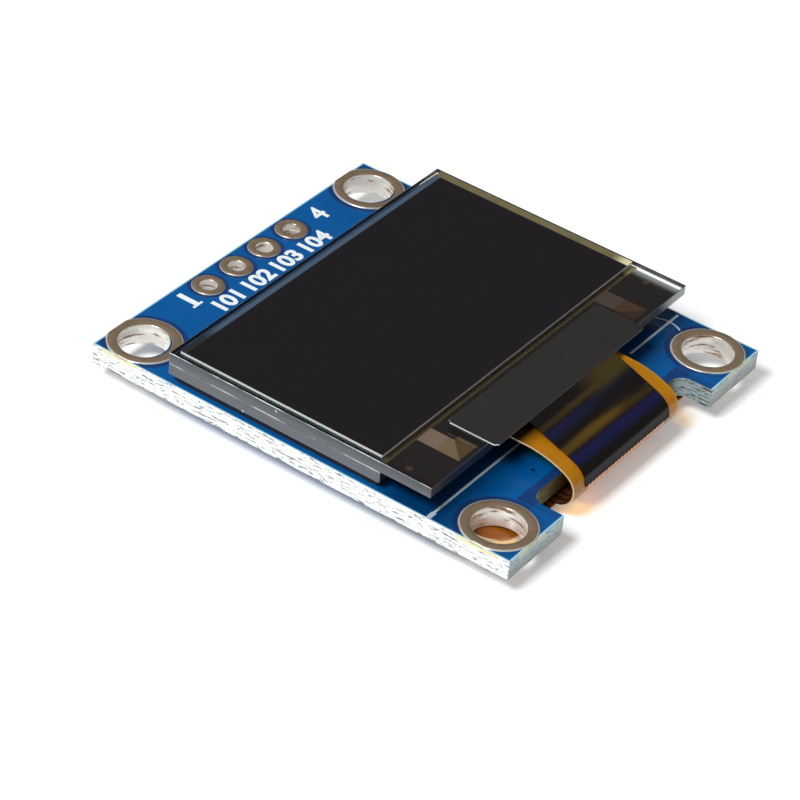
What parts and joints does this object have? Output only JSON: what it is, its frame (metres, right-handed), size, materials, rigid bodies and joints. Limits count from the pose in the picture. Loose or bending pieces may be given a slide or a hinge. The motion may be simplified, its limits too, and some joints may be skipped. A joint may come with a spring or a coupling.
{
  "type": "small OLED display module",
  "caption": "Small glass display panel on a blue circuit board, with a folded flexible circuit at one edge and a row of header holes at the other.",
  "frame": {"origin": "centre of the rectangle of mounting holes, on the back face of the bare board", "axes": "+X along the row of header holes from hole 1 to hole 4, +Y towards the edge with the header holes, +Z out of the display side"},
  "size_m": [0.0248, 0.027, 0.0044],
  "materials": {
    "blue_board": "glossy blue solder mask over fibreglass laminate",
    "ring_tin": "tinned copper, bright",
    "tin": "tinned copper, bright",
    "solder": "solder, bright",
    "foam_tape": "black foam tape, matte",
    "display_glass": "clear display glass",
    "seal_resin": "cured resin, brown",
    "display_black": "black display layers behind glass",
    "polarizer_film": "near-black film, smooth",
    "silicon": "dark silicon die",
    "gold_metal": "thin bronze-coloured metal under glass",
    "mark_metal": "thin reddish metal under glass",
    "shield_tape": "dark grey tape, satin",
    "polyimide": "clear amber polyimide",
    "dark_film": "glossy dark film",
    "copper": "bare copper",
    "capacitor_ceramic": "tan ceramic, matte",
    "resistor_ceramic": "black glaze over white ceramic",
    "moulding": "black moulding, satin"
  },
  "bodies": {
    "root": {"alignment_mark_left": "mark_metal", "alignment_mark_right": "mark_metal", "cap_glass": "display_glass", "capacitor_1_body": "capacitor_ceramic", "capacitor_1_terminals": "solder", "capacitor_2_body": "capacitor_ceramic", "capacitor_2_terminals": "solder", "capacitor_3_body": "capacitor_ceramic", "capacitor_3_terminals": "solder", "capacitor_4_body": "capacitor_ceramic", "capacitor_4_terminals": "solder", "capacitor_5_body": "capacitor_ceramic", "capacitor_5_terminals": "solder", "capacitor_6_body": "capacitor_ceramic", "capacitor_6_terminals": "solder", "circuit_board": "blue_board", "display_film": "display_black", "driver_chip": "silicon", "edge_seal": "seal_resin", "flex_circuit": "polyimide", "flex_film": "dark_film", "flex_lands": "tin", "flex_solder": "solder", "flex_tracks": "copper", "front_glass": "display_glass", "header_eyelet_1": "ring_tin", "header_eyelet_2": "ring_tin", "header_eyelet_3": "ring_tin", "header_eyelet_4": "ring_tin", "ledge_coat": "display_black", "ledge_patch_left": "gold_metal", "ledge_patch_right": "gold_metal", "mounting_ring_1": "ring_tin", "mounting_ring_2": "ring_tin", "mounting_ring_3": "ring_tin", "mounting_ring_4": "ring_tin", "mounting_tape": "foam_tape", "part_lands": "tin", "polarizer": "polarizer_film", "regulator_body": "moulding", "regulator_leads": "tin", "resistor_1_body": "resistor_ceramic", "resistor_1_terminals": "solder", "resistor_2_body": "resistor_ceramic", "resistor_2_terminals": "solder", "resistor_3_body": "resistor_ceramic", "resistor_3_terminals": "solder", "resistor_4_body": "resistor_ceramic", "resistor_4_terminals": "solder", "shield_tape": "shield_tape"}
  },
  "joints": []
}
